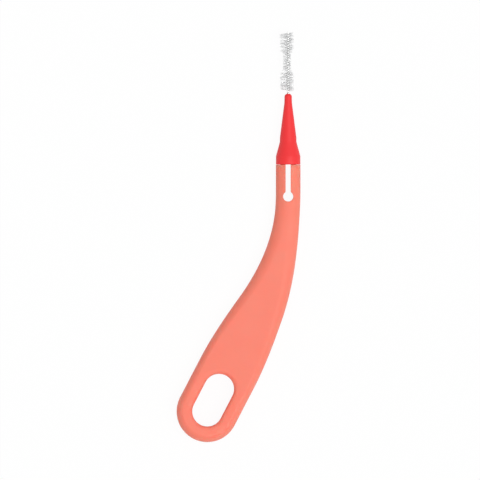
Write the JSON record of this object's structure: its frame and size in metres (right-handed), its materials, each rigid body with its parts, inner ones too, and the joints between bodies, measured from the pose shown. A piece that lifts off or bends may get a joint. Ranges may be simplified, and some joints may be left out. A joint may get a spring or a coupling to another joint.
{
  "type": "interdental brush",
  "caption": "Interdental brush with a bent flat handle, a hanging hole, a split neck and a conical click-on head that carries a twisted wire with waisted bristles.",
  "frame": {"origin": "centre of the underside of the whole brush's box, with the brush lying on its flat back", "axes": "+Y along the neck to the brush tip, +Z out of the handle's flat front face, +X to the right, away from the side that the grip bends to"},
  "size_m": [0.0346, 0.1151, 0.0069],
  "materials": {
    "handle_plastic": "matt coral injection-moulded polypropylene",
    "holder_plastic": "satin red injection-moulded polypropylene",
    "wire_steel": "bright drawn stainless steel wire",
    "filament_nylon": "clear white nylon filaments"
  },
  "bodies": {
    "handle": {"handle": "handle_plastic"},
    "brush_head": {"brush_holder": "holder_plastic", "twisted_wire": "wire_steel", "base_bristles": "filament_nylon", "waist_bristles": "filament_nylon", "tip_bristles": "filament_nylon"}
  },
  "joints": [
    {"name": "head_pull_off", "type": "slide", "parent": "handle", "child": "brush_head", "axis": [0, 1, 0], "range_m": [0, 0.0075]}
  ]
}
